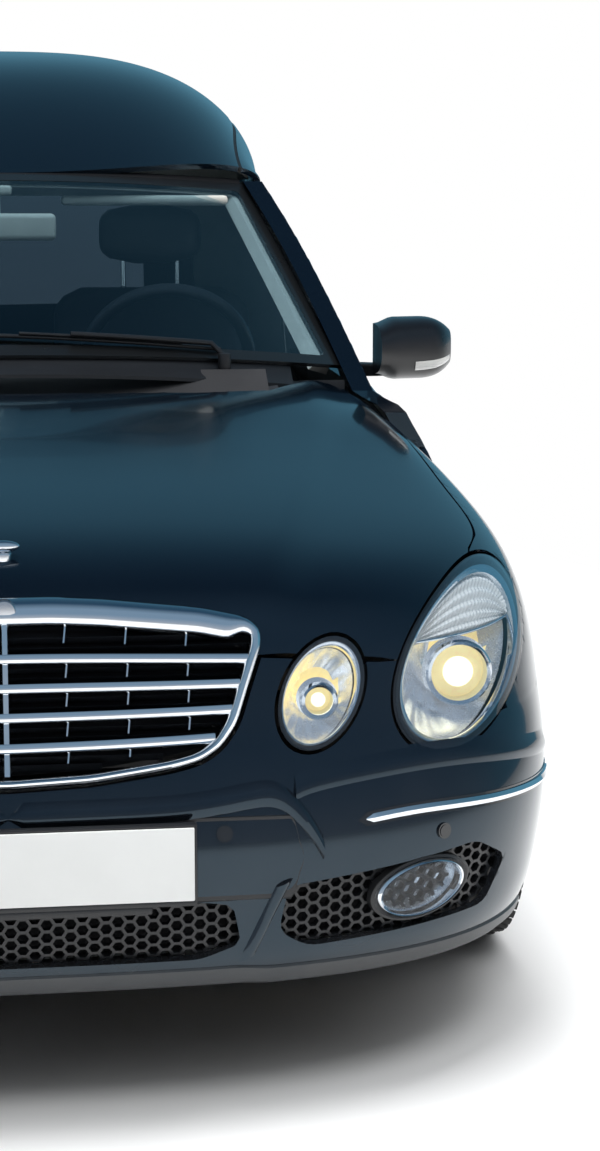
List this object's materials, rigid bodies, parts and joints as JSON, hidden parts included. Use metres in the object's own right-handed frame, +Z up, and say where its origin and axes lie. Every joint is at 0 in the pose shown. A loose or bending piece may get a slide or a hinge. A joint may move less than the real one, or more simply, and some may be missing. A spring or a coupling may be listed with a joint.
{
  "type": "hearse",
  "caption": "Dark hearse with a long glazed load space, raised roof, opening bonnet, doors and tailgate, steered front wheels",
  "frame": {"origin": "on the ground, at the middle of the car's length and width", "axes": "-Y towards the nose, +X towards the driver's side (left-hand drive), +Z up"},
  "size_m": [1.914, 5.6741, 1.7752],
  "materials": {
    "body_paint": "gloss",
    "chassis": "satin",
    "chrome": "polished",
    "lamp_glass": "clear",
    "tail_glass": "clear",
    "window_glass": "clear",
    "black_trim": "grained",
    "plate": "satin",
    "seat_leather": "satin",
    "cabin_lining": "woven",
    "cast": "rough",
    "steel": "dull",
    "alloy": "silver lacquer",
    "tyre": "matte"
  },
  "bodies": {
    "body": {"floor_pan": "chassis", "front_structure": "chassis", "side_frame_left": "body_paint", "side_frame_right": "body_paint", "quarter_left": "body_paint", "quarter_right": "body_paint", "roof_shell": "body_paint", "roof_rear": "body_paint", "fenders": "body_paint", "front_bumper": "body_paint", "headlamps": "lamp_glass", "fog_lamps": "lamp_glass", "lower_grille": "black_trim", "number_plates": "plate", "windscreen": "window_glass", "side_glasses": "window_glass", "rear_bumper": "body_paint", "tail_lamps": "tail_glass", "dashboard": "black_trim", "front_seats": "seat_leather", "partition": "cabin_lining", "load_deck": "chassis", "engine_block": "cast", "front_subframe": "chassis", "rear_axle": "cast", "exhaust": "steel", "wheelhouses": "black_trim", "wipers": "black_trim"},
    "bonnet": {"bonnet": "body_paint", "radiator_grille": "chrome"},
    "door_left": {"door_left": "body_paint", "door_glass_left": "window_glass", "mirror_left": "body_paint"},
    "door_right": {"door_right": "body_paint", "door_glass_right": "window_glass", "mirror_right": "body_paint"},
    "tailgate": {"tailgate": "body_paint", "tailgate_glass": "window_glass", "rear_plate": "plate"},
    "steering_wheel": {"steering_wheel": "black_trim"},
    "knuckle_left": {"knuckle_left": "cast"},
    "knuckle_right": {"knuckle_right": "cast"},
    "wheel_front_left": {"tyre_front_left": "tyre", "rim_front_left": "alloy"},
    "wheel_front_right": {"tyre_front_right": "tyre", "rim_front_right": "alloy"},
    "wheel_rear_left": {"tyre_rear_left": "tyre", "rim_rear_left": "alloy"},
    "wheel_rear_right": {"tyre_rear_right": "tyre", "rim_rear_right": "alloy"}
  },
  "joints": [
    {"name": "steer_left", "type": "hinge", "parent": "body", "child": "knuckle_left", "pos_m": [0.715, -1.975, 0.326], "axis": [0, 0, 1], "range_deg": [-35, 35]},
    {"name": "steer_right", "type": "hinge", "parent": "body", "child": "knuckle_right", "pos_m": [-0.715, -1.975, 0.326], "axis": [0, 0, 1], "range_deg": [-35, 35]},
    {"name": "wheel_front_left_roll", "type": "hinge", "parent": "knuckle_left", "child": "wheel_front_left", "pos_m": [0.78, -1.975, 0.326], "axis": [1, 0, 0], "continuous": true},
    {"name": "wheel_front_right_roll", "type": "hinge", "parent": "knuckle_right", "child": "wheel_front_right", "pos_m": [-0.78, -1.975, 0.326], "axis": [1, 0, 0], "continuous": true},
    {"name": "wheel_rear_left_roll", "type": "hinge", "parent": "body", "child": "wheel_rear_left", "pos_m": [0.78, 1.575, 0.326], "axis": [1, 0, 0], "continuous": true},
    {"name": "wheel_rear_right_roll", "type": "hinge", "parent": "body", "child": "wheel_rear_right", "pos_m": [-0.78, 1.575, 0.326], "axis": [1, 0, 0], "continuous": true},
    {"name": "door_left_hinge", "type": "hinge", "parent": "body", "child": "door_left", "pos_m": [0.872, -1.43, 0.59], "axis": [0, 0, -1], "range_deg": [0, 62]},
    {"name": "door_right_hinge", "type": "hinge", "parent": "body", "child": "door_right", "pos_m": [-0.872, -1.43, 0.59], "axis": [0, 0, 1], "range_deg": [0, 62]},
    {"name": "bonnet_hinge", "type": "hinge", "parent": "body", "child": "bonnet", "pos_m": [0, -1.335, 0.94], "axis": [-1, 0, 0], "range_deg": [0, 50]},
    {"name": "tailgate_hinge", "type": "hinge", "parent": "body", "child": "tailgate", "pos_m": [0, 2.624, 1.64], "axis": [1, 0, 0], "range_deg": [0, 85]},
    {"name": "steering_wheel_turn", "type": "hinge", "parent": "body", "child": "steering_wheel", "pos_m": [0.37, -0.92, 0.985], "axis": [0, 0.8821, 0.4711], "range_deg": [-520, 520]}
  ],
  "couplings": [
    {"joint": "steer_right", "follows": "steer_left", "ratio": 1},
    {"joint": "steering_wheel_turn", "follows": "steer_left", "ratio": 14}
  ]
}
